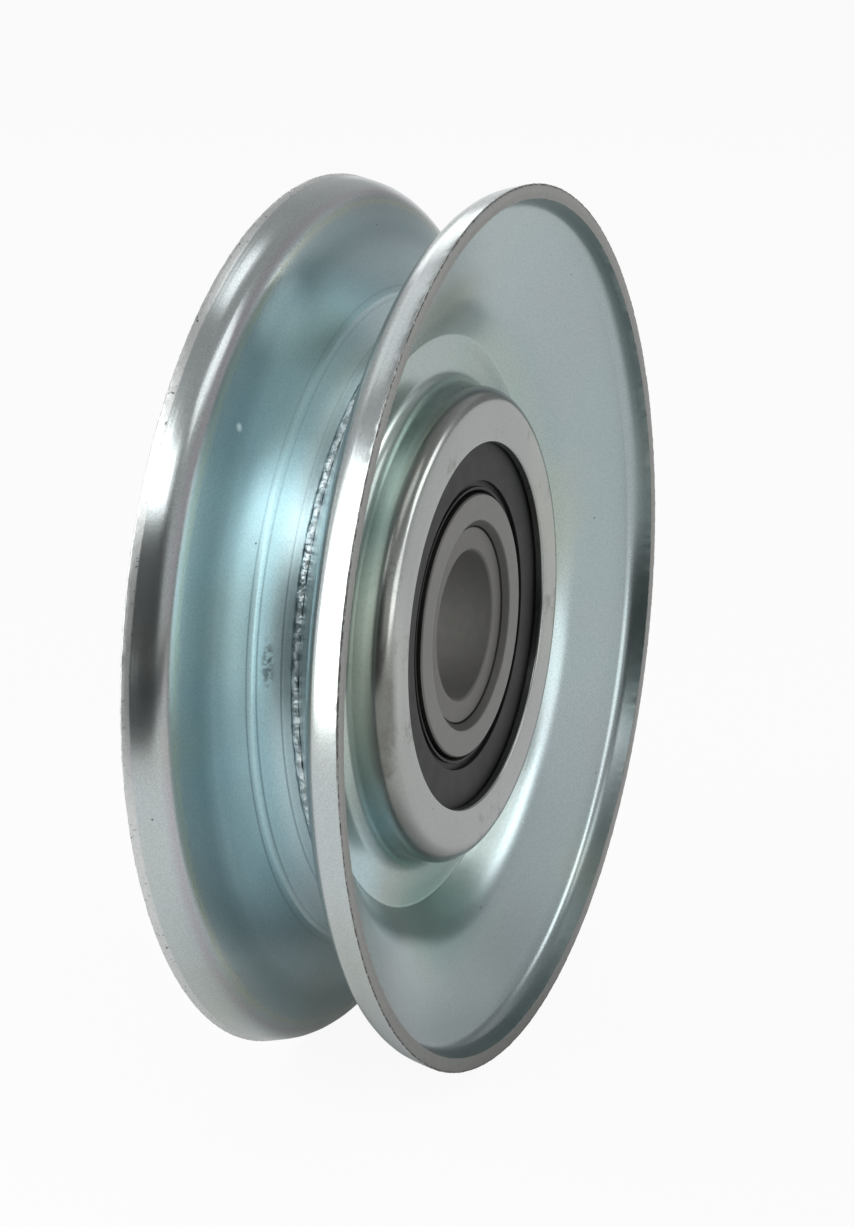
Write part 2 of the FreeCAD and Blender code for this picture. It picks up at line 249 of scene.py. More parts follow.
def newMaterial(name, metallic, roughness):
    material = bpy.data.materials.new(name)
    material.use_nodes = True
    shader = material.node_tree.nodes["Principled BSDF"]
    shader.inputs["Metallic"].default_value = metallic
    shader.inputs["Roughness"].default_value = roughness
    return material, material.node_tree, shader.inputs


def bump(tree, shader, height, strength, distance):
    made = addNode(tree, "ShaderNodeBump")
    for name, source in (("Strength", strength), ("Distance", distance), ("Height", height)):
        feed(tree, made.inputs[name], source)
    feed(tree, shader["Normal"], made.outputs[0])


# node groups that the finishes are put together from

numberSocket, vectorSocket = "NodeSocketFloat", "NodeSocketVector"


def makeRingPlace():
    # where a point lies on the wheel, in mm: radius from the axle, height from the middle plane
    group, _, out = newGroup("ringPlace", [], [("Radius", numberSocket), ("Height", numberSocket),
                                               ("Lathe", vectorSocket), ("Solid", vectorSocket)])
    solid = vectorMaths(group, "SCALE", addNode(group, "ShaderNodeTexCoord").outputs["Object"], 1 / mm)
    x, y, z = splitVector(group, solid)
    radius = maths(group, "SQRT", maths(group, "ADD", times(group, x, x), times(group, z, z)))
    lathe = addNode(group, "ShaderNodeCombineXYZ")
    feed(group, lathe.inputs[0], radius)
    feed(group, lathe.inputs[1], y)
    for label, source in (("Radius", radius), ("Height", y), ("Lathe", lathe.outputs[0]), ("Solid", solid)):
        feed(group, out[label], source)
    return group


def makeSatinGrain():
    # fine pressed grain with a slower cloudiness, for colour, roughness and bump
    group, given, out = newGroup(
        "satinGrain",
        [("Place", vectorSocket, (0, 0, 0)), ("Fine", numberSocket, 6.0), ("Cloud", numberSocket, 0.15)],
        [("Grain", numberSocket), ("Clouds", numberSocket)])
    feed(group, out["Grain"], noiseValue(group, given["Place"], given["Fine"], detail=4.0, roughness=0.6))
    feed(group, out["Clouds"], noiseValue(group, given["Place"], given["Cloud"], detail=3.0, roughness=0.55))
    return group


def makeTurnedLines():
    # concentric tool marks, slightly broken up round the ring
    group, given, out = newGroup(
        "turnedLines",
        [("Lathe", vectorSocket, (0, 0, 0)), ("Solid", vectorSocket, (0, 0, 0)),
         ("Fine", numberSocket, 14.0)],
        [("Lines", numberSocket)])
    rings = noiseValue(group, given["Lathe"], given["Fine"], detail=3.0, roughness=0.7)
    broken = noiseValue(group, given["Solid"], 1.2)
    feed(group, out["Lines"], times(group, rings, ramp(group, broken, 0.3, 0.7, 0.6, 1.1)))
    return group


def makeSpecks():
    # sparse dark handling specks: one cell in five keeps its dot
    group, given, out = newGroup(
        "specks",
        [("Place", vectorSocket, (0, 0, 0)), ("Scale", numberSocket, 0.6), ("Size", numberSocket, 0.1)],
        [("Mask", numberSocket)])
    cells = addNode(group, "ShaderNodeTexVoronoi")
    feed(group, cells.inputs["Vector"], given["Place"])
    feed(group, cells.inputs["Scale"], given["Scale"])
    picked = addNode(group, "ShaderNodeSeparateColor")
    feed(group, picked.inputs[0], cells.outputs["Color"])
    keep = maths(group, "GREATER_THAN", picked.outputs[0], 0.8)
    core = times(group, given["Size"], 0.4)
    dot = ramp(group, cells.outputs["Distance"], core, given["Size"], 1.0, 0.0)
    feed(group, out["Mask"], times(group, keep, dot))
    return group


ringPlace, satinGrain = makeRingPlace(), makeSatinGrain()
turnedLines, specks = makeTurnedLines(), makeSpecks()
print("shared node groups ready")


# pressed halves: sizes in mm, heights counted outwards from the middle plane

halfSizes = {
    "rim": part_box("front_half")[1].x / mm, "width": -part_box("front_half")[0].y / mm, "gauge": 1.6,
    "floor": 28.0, "floorHalfWidth": 2.88, "floorRise": 3.25, "wallAngle": 21.0, "lipFlare": 14.0,
    "lipEdge": 1.4, "lipBend": 1.5, "floorBend": 0.5, "dishBend": 7.0, "seamRound": 2.1, "ledgeBend": 0.5,
    "hubWall": 2.15, "hubBaseBend": 1.45, "hubShoulder": 1.7,
    "seat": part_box("outer_race")[1].x / mm, "ringFace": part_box("outer_race")[1].y / mm, "seatRound": 0.5,
    "lipReach": 3.09, "lipThickness": 0.75, "lipRound": 0.25, "rollOver": 0.12, "burr": 0.06,
    "turns": 720,
    # sheared edge: where it starts and is full below the face, its depths and the scales of its noise
    "edgeBelow": (0.45, 0.02), "edgeInset": 0.001, "tornDepth": 0.06, "tornMean": 0.5,
    "torn": [(2.6, 0.5), (6.1, 0.35)],  # noise scale and share of each
    "nibbleDepth": 0.05, "nibbleMean": 0.6, "nibbleScale": 3.7,
    # slow waves of the lip, from this far above the floor to this far below the rim
    "waveAboveFloor": 6, "waveBelowRim": 1, "waveDepth": 0.02, "waveScale": 0.13,
}


def halfSection(size):
    wall, flare = math.tan(math.radians(size["wallAngle"])), math.tan(math.radians(size["lipFlare"]))
    gauge, floorEnd = size["gauge"], size["floorHalfWidth"]
    foot = size["floor"] + size["floorRise"]
    innerRim = size["rim"] - size["lipEdge"]
    # the outside runs one gauge away from the belt side, along the halved angles at the corners
    floorAngle, wallAngle = math.atan2(floorEnd, size["floorRise"]), math.radians(size["wallAngle"])
    turn, spread = (floorAngle + wallAngle) / 2, (floorAngle - wallAngle) / 2
    crease = size["floor"] - gauge * math.tan(floorAngle / 2)
    backFoot = (foot - gauge * math.sin(turn) / math.cos(spread),
                floorEnd + gauge * math.cos(turn) / math.cos(spread))

    def bend(lipStart, radius, height):
        # where the wall line meets the lip line
        meet = (lipStart - (size["width"] - height + radius * wall) * flare) / (1 - wall * flare)
        return meet, height + (meet - radius) * wall

    hubOut, hubFace = size["seat"] + size["hubWall"], size["ringFace"] + size["lipThickness"]
    opening = size["seat"] - size["lipReach"]
    return roundedSection([
        (size["rim"], size["width"], size["rollOver"], 0.45),
        (*bend(size["rim"], foot, floorEnd), size["lipBend"] + gauge, 1.2),
        (foot, floorEnd, size["floorBend"], 0.8),
        (size["floor"], 0, size["seamRound"], 2.0),
        (size["seat"], 0, size["hubBaseBend"] + gauge, 2.0),
        (size["seat"], size["ringFace"], size["seatRound"], 1.5),
        (opening, size["ringFace"], 0, 0.6),
        (opening, hubFace, size["lipRound"], 1.0),
        (hubOut, hubFace, size["hubShoulder"], 1.0),
        (hubOut, gauge, size["hubBaseBend"], 1.0),
        (crease, gauge, size["ledgeBend"], 1.0),
        (*backFoot, size["dishBend"], 1.2),
        (*bend(innerRim, *backFoot), size["lipBend"], 0.8),
        (innerRim, size["width"], size["burr"], 0.3),
    ])


def pressedMarks(size, seed):
    # rough sheared edge and the slight waviness of a drawn lip
    edgeStart, edgeFull = below(size["width"], size["edgeBelow"])
    waveStart, waveFull = size["floor"] + size["waveAboveFloor"], size["rim"] - size["waveBelowRim"]

    def nudge(radius, height, angle):
        spot = Vector((radius * math.cos(angle), height + seed, radius * math.sin(angle)))
        edge = smoothStep(edgeStart, edgeFull, height)
        if edge:
            torn = size["tornMean"] + noiseSum(spot, size["torn"])
            nibbled = size["nibbleMean"] + noise.noise(spot * size["nibbleScale"])
            height -= edge * (size["edgeInset"] + size["tornDepth"] * max(0, torn))
            radius -= edge * size["nibbleDepth"] * max(0, nibbled)
        lip = smoothStep(waveStart, waveFull, radius)
        radius -= lip * size["waveDepth"] * (1 + noise.noise(spot * size["waveScale"])) / 2
        return radius, height
    return nudge


# zinc plating of the halves: lengths in mm, a zone is given by where it starts and where it is full

zincLook = {
    # zones by depth behind the belt side, by radius, by height and by depth below the face or rim
    "behindBelt": (1.1, 0.6),
    "rimZone": (37.8, 41.2), "grooveZone": (27.0, 28.0), "hubZone": (24.6, 22.6), "recessZone": (30.4, 28.2),
    "lipInZone": (39.9, 40.5), "hubSideFrom": (21.9, 22.7), "hubSideTo": (25.0, 23.6),
    "wallFade": (33.5, 37.5), "floorFade": (30.6, 29.2),
    "recessHeight": (5.4, 3.6), "notchHeight": (1.0, 0.7), "rearHeight": (0.0, 1.0),
    "cutBelow": (0.12, 0.05), "stripBelow": (1.0, 0.75), "cornerBelow": (0.32, 0.18),
    # colours of the zones; painted light and shade among them: the groove's floor and wall, far lighter and
    # bluer than the zinc elsewhere, are painted reflected light, the notch is painted lighter, and the hub's
    # side and the lip's inside are painted darker, as shade
    "web": (0.325, 0.39, 0.40, 1), "rim": (0.32, 0.375, 0.38, 1), "recess": (0.335, 0.405, 0.385, 1),
    "hub": (0.27, 0.285, 0.275, 1), "hubSide": (0.21, 0.22, 0.205, 1), "floor": (0.74, 0.84, 0.86, 1),
    "wallInner": (0.56, 0.71, 0.745, 1), "wallOuter": (0.335, 0.44, 0.465, 1),
    "lipIn": (0.20, 0.25, 0.25, 1), "lipOut": (0.46, 0.50, 0.505, 1), "notch": (0.60, 0.70, 0.72, 1),
    "torn": (0.58, 0.60, 0.595, 1), "pit": (0.14, 0.14, 0.14, 1),
    "cut": (0.245, 0.25, 0.24, 1), "corner": (0.08, 0.075, 0.07, 1),
    "smudge": (0.10, 0.095, 0.09, 1), "scuff": (0.10, 0.115, 0.12, 1), "speck": (0.07, 0.07, 0.065, 1),
    # rings of painted reflection on the groove (a painted highlight line on the bend between floor and wall
    # with a painted shade line on either side, a painted shade line by the joint, a darker and a lighter
    # band on the wall) and colours along the lip's bend: radius from, at and to, strength, colour
    "rings": [((36.0, 37.0, 38.4), 0.4, (0.25, 0.36, 0.40, 1)),
              ((34.6, 35.4, 36.0), 0.3, (0.62, 0.76, 0.79, 1)),
              ((31.66, 31.8, 31.98), 0.6, (0.12, 0.19, 0.21, 1)),
              ((30.98, 31.28, 31.64), 0.85, (0.80, 0.96, 0.98, 1)),
              ((30.76, 30.88, 31.0), 0.6, (0.12, 0.19, 0.21, 1)),
              ((29.0, 29.12, 29.24), 0.6, (0.13, 0.19, 0.21, 1))],
    "bendColours": [((39.9, 40.4, 41.0), 0.6, (0.40, 0.37, 0.40, 1)),
                    ((39.0, 39.6, 40.0), 0.5, (0.52, 0.56, 0.44, 1))],
    # where the painted rings are strongest (centre, reach), and how strong they are elsewhere
    "strongRingSpot": ((-29.0, 2.5, -2.0), (30.0, 14.0, 28.0)), "weakRingShare": 0.35,
    # patches: centre, reach, strength, colour; the light-blue patch on the wall and the tinted patches are
    # painted light and shade
    "paintedReflectionPatch": ((-18.8, 5.8, 32.5), (6.5, 3.0, 7.5), 0.85, (0.74, 0.89, 0.93, 1)),
    "lightShadePatches": [((-5.0, -4.5, 30.5), (13.0, 6.0, 5.5), 0.65, (0.17, 0.19, 0.125, 1)),
              ((-25.0, -4.0, 3.0), (10.0, 5.0, 19.0), 0.65, (0.56, 0.59, 0.53, 1)),
              ((-15.0, -2.0, 21.5), (8.0, 3.0, 7.0), 0.6, (0.60, 0.68, 0.65, 1)),
              ((-22.0, -5.6, -2.0), (2.4, 2.2, 13.0), 0.7, (0.11, 0.11, 0.10, 1)),
              ((-18.5, -3.0, -20.0), (9.0, 4.0, 9.0), 0.7, (0.46, 0.63, 0.69, 1)),
              ((-3.0, -3.0, -28.5), (14.0, 6.0, 8.5), 0.8, (0.13, 0.25, 0.225, 1)),
              ((0.0, -6.5, -37.0), (24.0, 5.0, 11.0), 0.6, (0.205, 0.245, 0.25, 1))],
    "scratch": ((-28.2, 5.06, 23.8), (0.5, 0.35, 0.6), 1.0, (0.92, 0.95, 0.95, 1)),
    # slow drifts of colour: noise from and to, strength, colour
    "driftScale": 0.055,
    "drifts": [((0.5, 0.75), 0.35, (0.40, 0.43, 0.33, 1)), ((0.5, 0.28), 0.16, (0.37, 0.35, 0.40, 1))],
    # smudged hub, with painted shade heaped at one side of it, and scuffed groove: centre and reach, noise
    # scale, noise from and to, strength
    "smudgeShadeSpot": ((-21.6, -5.0, -6.0), (3.0, 2.5, 9.0)), "smudgeShadeMore": 0.22,
    "smudgeScale": 0.22, "smudgeNoise": (0.56, 0.72), "smudgeShare": 0.65,
    "scuffSpot": ((-29.9, 1.84, 3.3), (1.4, 0.7, 3.0)),
    "scuffScale": 1.5, "scuffNoise": (0.42, 0.58), "scuffShare": 0.8,
    # pits of the torn edge, specks and spangle
    "blotchScale": 2.4, "pitNoise": (0.62, 0.72), "cornerNoise": (0.62, 0.42),
    "speckScale": 0.35, "speckSize": 0.05, "spangleNoise": (0.3, 0.7), "spangle": (0.91, 1.08),
    # roughness all over, what the clouds and zones add to it, and the bump
    "grain": 6.0, "cloud": 0.09, "rough": 0.26, "cloudRough": 0.14,
    "zoneRough": {"groove": 0.06, "lipOut": -0.1, "hub": -0.06, "hubSide": 0.04, "lipIn": 0.08,
                  "torn": 0.12, "cut": 0.25},
    "drawnScale": 1.0, "grainBump": 0.06, "tornBump": 0.5,
}


def zincZones(tree, spot, size, look):
    # masks of the pressing's regions, worked out from where a point lies
    radius, tall = spot["Radius"], maths(tree, "ABSOLUTE", spot["Height"])
    foot = size["floor"] + size["floorRise"]
    slope, flare = math.tan(math.radians(size["wallAngle"])), math.tan(math.radians(size["lipFlare"]))
    # how far a point stands behind the belt side: floor, wall and lip
    floor = times(tree, maths(tree, "SUBTRACT", radius, size["floor"]),
                  size["floorHalfWidth"] / size["floorRise"])
    wall = maths(tree, "MULTIPLY_ADD", maths(tree, "SUBTRACT", radius, foot), slope, size["floorHalfWidth"])
    lip = maths(tree, "MULTIPLY_ADD", maths(tree, "SUBTRACT", tall, size["width"]), flare, size["rim"])
    behind = maths(tree, "MINIMUM", maths(tree, "SUBTRACT", tall, maths(tree, "MINIMUM", floor, wall)),
                   maths(tree, "SUBTRACT", lip, radius))

    def byRadius(name):
        return ramp(tree, radius, *look[name])

    def byHeight(name):
        return ramp(tree, tall, *look[name])

    def byDepth(value, level, name):
        return ramp(tree, value, *below(level, look[name]))

    belt, rim, hub = ramp(tree, behind, *look["behindBelt"]), byRadius("rimZone"), byRadius("hubZone")
    outside = ramp(tree, behind, *reversed(look["behindBelt"]))
    groove, lipOut = times(tree, byRadius("grooveZone"), belt), times(tree, rim, belt)
    cut = byDepth(tall, size["width"], "cutBelow")
    strip = times(tree, byDepth(tall, size["width"], "stripBelow"), lipOut)
    return {
        "belt": belt, "rim": rim, "hub": hub, "groove": groove, "lipOut": lipOut, "cut": cut,
        "recess": times(tree, byHeight("recessHeight"), byRadius("recessZone")),
        "lipIn": times(tree, byRadius("lipInZone"), outside),
        "hubSide": times(tree, byRadius("hubSideFrom"), byRadius("hubSideTo")),
        "notch": times(tree, byHeight("notchHeight"), groove),
        "torn": times(tree, strip, ramp(tree, spot["Height"], *look["rearHeight"])),
        "corner": times(tree, cut, byDepth(radius, size["rim"], "cornerBelow")),
    }


def zincColour(tree, spot, grain, zones, look):
    radius, solid = spot["Radius"], spot["Solid"]

    def addZones(colour, *names):
        for name in names:
            colour = blend(tree, zones[name], colour, look[name])
        return colour

    def addBands(colour, bands, zone):
        for edges, share, shade in bands:
            ring = times(tree, band(tree, radius, *edges), zone)
            colour = blend(tree, times(tree, ring, share), colour, shade)
        return colour

    def addPatches(colour, *patches):
        for centre, reach, share, shade in patches:
            colour = blend(tree, times(tree, patch(tree, solid, centre, reach), share), colour, shade)
        return colour

    # painted shade: the lip's inside and the hub's side are darker than the web
    colour = addZones(look["web"], "rim", "lipIn", "hub", "hubSide")
    # smudges on the hub, with painted shade heaped at one side
    smudgeAndShade = maths(tree, "MULTIPLY_ADD", patch(tree, solid, *look["smudgeShadeSpot"]), look["smudgeShadeMore"],
                   noiseValue(tree, solid, look["smudgeScale"], detail=4.0, roughness=0.65))
    smudge = ramp(tree, smudgeAndShade, *look["smudgeNoise"], 0.0, look["smudgeShare"])
    colour = blend(tree, times(tree, smudge, zones["hub"]), colour, look["smudge"])
    colour = addZones(colour, "recess")
    # belt side, painted reflected light: a blue wall, lighter than the zinc elsewhere, that darkens
    # outwards, a pale floor and a painted light-blue reflection patch
    wall = blend(tree, ramp(tree, radius, *look["wallFade"]), look["wallInner"], look["wallOuter"])
    wall = blend(tree, ramp(tree, radius, *look["floorFade"]), wall, look["floor"])
    colour = blend(tree, zones["groove"], colour, addPatches(wall, look["paintedReflectionPatch"]))
    # painted reflection rings, strongest about one spot
    ringStrength = ramp(tree, patch(tree, solid, *look["strongRingSpot"]), 0.0, 1.0, look["weakRingShare"], 1.0)
    colour = addBands(colour, look["rings"], times(tree, zones["groove"], ringStrength))
    colour = addZones(colour, "lipOut")
    # thin passivation colours along the lip's bend and drifting all over, then patches of painted light and
    # shade
    colour = addBands(colour, look["bendColours"], zones["belt"])
    drift = noiseValue(tree, solid, look["driftScale"])
    for edges, share, shade in look["drifts"]:
        colour = blend(tree, ramp(tree, drift, *edges, 0.0, share), colour, shade)
    colour = addPatches(colour, *look["lightShadePatches"])
    flecks = noiseValue(tree, solid, look["scuffScale"], detail=3.0, roughness=0.6)
    scuff = times(tree, patch(tree, solid, *look["scuffSpot"]),
                  ramp(tree, flecks, *look["scuffNoise"], 0.0, look["scuffShare"]))
    colour = blend(tree, scuff, colour, look["scuff"])
    colour = addPatches(colour, look["scratch"])
    # sheared edge: torn strip with pits on the lip, then the cut face with a dark line at its corner
    blotch = noiseValue(tree, solid, look["blotchScale"], detail=3.0)
    # painted light: the notch by the joint is lightened against its shade
    colour = addZones(colour, "notch", "torn")
    pits = times(tree, zones["torn"], ramp(tree, blotch, *look["pitNoise"]))
    colour = blend(tree, pits, colour, look["pit"])
    colour = addZones(colour, "cut")
    line = times(tree, zones["corner"], ramp(tree, blotch, *look["cornerNoise"]))
    colour = blend(tree, line, colour, look["corner"])
    marks = place(tree, specks, Place=solid, Scale=look["speckScale"], Size=look["speckSize"])
    colour = blend(tree, marks["Mask"], colour, look["speck"])
    spangle = ramp(tree, grain["Grain"], *look["spangleNoise"], *look["spangle"])
    return vectorMaths(tree, "SCALE", colour, spangle)


def zincPlate(size, look):
    material, tree, shader = newMaterial("zincPlate", metallic=1.0, roughness=0.3)
    spot = place(tree, ringPlace)
    grain = place(tree, satinGrain, Place=spot["Solid"], Fine=look["grain"], Cloud=look["cloud"])
    zones = zincZones(tree, spot, size, look)
    feed(tree, shader["Base Color"], zincColour(tree, spot, grain, zones, look))
    rough = maths(tree, "MULTIPLY_ADD", grain["Clouds"], look["cloudRough"],
                  look["rough"] - look["cloudRough"] / 2)
    for zone, more in look["zoneRough"].items():
        rough = maths(tree, "MULTIPLY_ADD", zones[zone], more, rough)
    feed(tree, shader["Roughness"], rough)
    # drawing marks run round the lip, and the grain is deeper on the torn strip
    drawn = times(tree, noiseValue(tree, spot["Lathe"], look["drawnScale"]), zones["lipOut"])
    shaken = maths(tree, "MULTIPLY_ADD", zones["torn"], look["tornBump"], look["grainBump"])
    height = maths(tree, "MULTIPLY_ADD", grain["Grain"], shaken, drawn)
    bump(tree, shader, height, strength=0.5, distance=0.00005)
    return material


zinc = zincPlate(halfSizes, zincLook)
section = halfSection(halfSizes)
for name, side, seed in (("front_half", -1, 0.0), ("rear_half", 1, 37.0)):
    sheet = spinRing(name + "_pressing", section, halfSizes["turns"], side, pressedMarks(halfSizes, seed))
    dress(sheet, "sheave", name, zinc)
print("pressed halves:", len(section), "section points each")


# beaded joint strip between the halves, in the floor of the groove

beadSizes = {
    "radius": 28.4, "front": -0.34, "rear": 0.28, "crown": 0.12, "depth": 0.7, "steps": 12, "turns": 2400,
    "lump": 0.05, "lumps": [(1.1, 0.5), (3.4, 0.8), (6.5, 0.6)],  # noise scale and share of each
    "sway": 0.14, "swayScale": 0.9, "swayShift": (7, 3, 1),
    "dark": (0.26, 0.32, 0.335, 1), "light": (0.70, 0.79, 0.81, 1), "mottle": (0.38, 0.62),
    "grain": 4.0, "cloud": 1.6, "leastRough": 0.2, "grainRough": 0.3,
}


def beadSection(size):
    wide, root = size["rear"] - size["front"], size["radius"] - size["depth"]
    ridge = []
    for k in range(size["steps"] + 1):
        share = k / size["steps"]
        crest = size["radius"] + size["crown"] * math.sin(math.pi * share)
        ridge.append((crest, size["front"] + wide * share))
    return ridge + [(root, size["rear"] - wide / 3), (root, size["front"] + wide / 3)]


def beadLumps(size):
    shift = Vector(size["swayShift"])

    def nudge(radius, height, angle):
        if radius < size["radius"] - size["depth"] / 2:
            return radius, height
        spot = Vector((radius * math.cos(angle), height, radius * math.sin(angle)))
        sway = noise.noise(spot * size["swayScale"] + shift)
        return radius + size["lump"] * noiseSum(spot, size["lumps"]), height + size["sway"] * sway
    return nudge


def beadMetal(size):
    material, tree, shader = newMaterial("beadMetal", metallic=1.0, roughness=0.25)
    spot = place(tree, ringPlace)
    grain = place(tree, satinGrain, Place=spot["Solid"], Fine=size["grain"], Cloud=size["cloud"])
    mottle = ramp(tree, grain["Clouds"], *size["mottle"])
    rough = maths(tree, "MULTIPLY_ADD", grain["Grain"], size["grainRough"], size["leastRough"])
    feed(tree, shader["Base Color"], blend(tree, mottle, size["dark"], size["light"]))
    feed(tree, shader["Roughness"], rough)
    bump(tree, shader, grain["Grain"], strength=0.3, distance=0.0001)
    return material


bead = spinRing("joint_bead", beadSection(beadSizes), beadSizes["turns"], 1, beadLumps(beadSizes))
bead.data.materials.append(beadMetal(beadSizes))
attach(bead, "sheave")
print("joint strip beaded")


# turned and ground steel, for the bearing and its sleeve

steelLook = {
    "grain": 7.0, "cloud": 0.25, "darker": 0.8, "lighter": 1.15,  # the last two are shares of the tint
    "lineShade": 0.35, "cloudShade": 0.25, "leastShade": 0.1,
    "lineRough": 0.16, "lineRoughMean": 0.06, "dimRough": 0.25, "dimFade": 0.12, "grainBump": 0.4,
}


def groundSteel(look, name, tint, roughness, fine, paintedToneInside=0.0, paintedToneShare=1.0):
    # nearer the axle than the given radius, mm, the steel is rougher and its tint is painted lighter or
    # darker by the given share: painted shade in a bevel, painted light in a bore
    material, tree, shader = newMaterial(name, metallic=1.0, roughness=roughness)
    spot = place(tree, ringPlace)
    lines = place(tree, turnedLines, Lathe=spot["Lathe"], Solid=spot["Solid"], Fine=fine)["Lines"]
    grain = place(tree, satinGrain, Place=spot["Solid"], Fine=look["grain"], Cloud=look["cloud"])
    cloudy = maths(tree, "MULTIPLY_ADD", grain["Clouds"], look["cloudShade"], look["leastShade"])
    shade = maths(tree, "MULTIPLY_ADD", lines, look["lineShade"], cloudy)
    paintedToneZone = ramp(tree, spot["Radius"], paintedToneInside, paintedToneInside - look["dimFade"])
    dark, light, paintedTone = [tuple(share * part for part in tint) + (1,)
                         for share in (look["darker"], look["lighter"], paintedToneShare)]
    feed(tree, shader["Base Color"], blend(tree, paintedToneZone, blend(tree, shade, dark, light), paintedTone))
    worn = maths(tree, "MULTIPLY_ADD", lines, look["lineRough"], roughness - look["lineRoughMean"])
    feed(tree, shader["Roughness"], maths(tree, "MULTIPLY_ADD", paintedToneZone, look["dimRough"], worn))
    height = maths(tree, "MULTIPLY_ADD", grain["Grain"], look["grainBump"], lines)
    bump(tree, shader, height, strength=0.22, distance=0.00003)
    return material


# the race's bore bevel is painted darker, as shade, and the sleeve's bore painted lighter, as light
bearingSteel = groundSteel(steelLook, "bearingSteel", tint=(0.15, 0.148, 0.141), roughness=0.36, fine=11.0,
                           paintedToneInside=10.1, paintedToneShare=0.6)
sleeveSteel = groundSteel(steelLook, "sleeveSteel", tint=(0.145, 0.143, 0.136), roughness=0.5, fine=7.0,
                          paintedToneInside=7.3, paintedToneShare=1.2)


# inner race with its ball track, and the sleeve in its bore

raceSizes = {
    "bore": 9.525, "shoulder": 12.649, "face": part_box("inner_race")[1].y / mm, "boreBevel": 0.6,
    "edge": 0.15, "softness": 0.06, "track": 3.715, "trackCentre": 15.204, "trackSteps": 6, "turns": 360,
}


def raceSection(size):
    half, soft, steps = size["face"], size["softness"], size["trackSteps"]
    trackEdge = math.sqrt(size["track"] ** 2 - (size["trackCentre"] - size["shoulder"]) ** 2)
    front = [
        (size["bore"], -half + size["boreBevel"], soft, 2.0),
        (size["bore"] + size["boreBevel"], -half, soft, 0.5),
        (size["shoulder"] - size["edge"], -half, soft, 0.2),
        (size["shoulder"], -half + size["edge"], soft, 0.8),
    ]
    track = []
    for k in range(-steps, steps + 1):
        height = trackEdge * math.sin(math.pi / 2 * k / steps)
        track.append((size["trackCentre"] - math.sqrt(size["track"] ** 2 - height ** 2), height, 0, 0))
    return roundedSection(front + track + mirroredRun(front, 0.8))


race = spinRing("inner_race_ring", raceSection(raceSizes), raceSizes["turns"])
dress(race, "bearing_core", "inner_race", bearingSteel)

sleeveSizes = {
    "bore": 7.14375, "outside": 9.525, "end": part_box("sleeve")[1].y / mm, "boreBevel": 0.2, "edge": 0.2,
    "softness": 0.07, "turns": 300,
}


def sleeveSection(size):
    end, soft = size["end"], size["softness"]
    front = [
        (size["bore"], -end + size["boreBevel"], soft, 0.3),
        (size["bore"] + size["boreBevel"], -end, soft, 0.5),
        (size["outside"] - size["edge"], -end, soft, 0.2),
        (size["outside"], -end + size["edge"], soft, 1.5),
    ]
    return roundedSection(front + mirroredRun(front, 1.5))


tube = spinRing("sleeve_tube", sleeveSection(sleeveSizes), sleeveSizes["turns"])
dress(tube, "bearing_core", "sleeve", sleeveSteel)
print("inner race and sleeve turned")


# rubber seals: flat face, channel and thin lip beside the inner race

sealSizes = {
    "lipTip": 12.749, "lipWidth": 0.5, "channelWidth": 0.6, "channelDepth": 0.5, "lipDrop": 0.16,
    "rim": 17.943, "bead": 18.293, "outside": -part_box("front_seal")[0].y / mm, "thickness": 0.8,
    "seatGap": 0.02, "softness": 0.07, "turns": 360,
    "dark": (0.006, 0.006, 0.007, 1), "light": (0.015, 0.015, 0.016, 1), "shine": 0.25,
    "grain": 9.0, "cloud": 0.4, "leastRough": 0.42, "cloudRough": 0.2,
}


def sealSection(size):
    face, soft = size["outside"], size["softness"]
    inside, low, crest = face - size["thickness"], face - size["channelDepth"], face - size["lipDrop"]
    lipBack = size["lipTip"] + size["lipWidth"]
    channelEnd = lipBack + size["channelWidth"]
    return roundedSection([
        (size["lipTip"], inside, 0, 1.0),
        (size["bead"], inside + size["seatGap"], soft, 0.5),
        (size["bead"], face - size["seatGap"], soft, 0.5),
        (size["rim"], face - size["seatGap"], 0, 0.5),
        (size["rim"], face, 0, 0.5),
        (channelEnd, face, soft, 0.3),
        (channelEnd, low, soft, 0.3),
        (lipBack, low, soft, 0.3),
        (lipBack, crest, soft, 0.3),
        (size["lipTip"] + size["lipWidth"] / 2, crest, soft, 0.3),
        (size["lipTip"], low, 0, 0.3),
    ])


def sealRubber(size):
    material, tree, shader = newMaterial("sealRubber", metallic=0.0, roughness=0.55)
    spot = place(tree, ringPlace)
    grain = place(tree, satinGrain, Place=spot["Solid"], Fine=size["grain"], Cloud=size["cloud"])
    rough = maths(tree, "MULTIPLY_ADD", grain["Clouds"], size["cloudRough"], size["leastRough"])
    feed(tree, shader["Base Color"], blend(tree, grain["Clouds"], size["dark"], size["light"]))
    feed(tree, shader["Roughness"], rough)
    shader["Specular IOR Level"].default_value = size["shine"]
    bump(tree, shader, grain["Grain"], strength=0.3, distance=0.00005)
    return material


rubber = sealRubber(sealSizes)
for name, side in (("front_seal", -1), ("rear_seal", 1)):
    ring = spinRing(name + "_ring", sealSection(sealSizes), sealSizes["turns"], side)
    dress(ring, "sheave", name, rubber)
print("seals moulded")


# bearing insides keep their solids and get real finishes

def setFinish(name, material):
    nodes[name].data.materials.clear()
    nodes[name].data.materials.append(material)


cageSteel = groundSteel(steelLook, "cageSteel", tint=(0.42, 0.41, 0.39), roughness=0.34, fine=4.0)
ballSteel = groundSteel(steelLook, "ballSteel", tint=(0.62, 0.62, 0.61), roughness=0.12, fine=2.0)
setFinish("outer_race", bearingSteel)
for name in ("cage_front", "cage_rear", "cage_rivets"):
    setFinish(name, cageSteel)
for name in sorted(nodes):
    if name.startswith("ball_"):
        setFinish(name, ballSteel)
print("bearing insides finished")


# studio: pale floor, soft boxes and a grey room

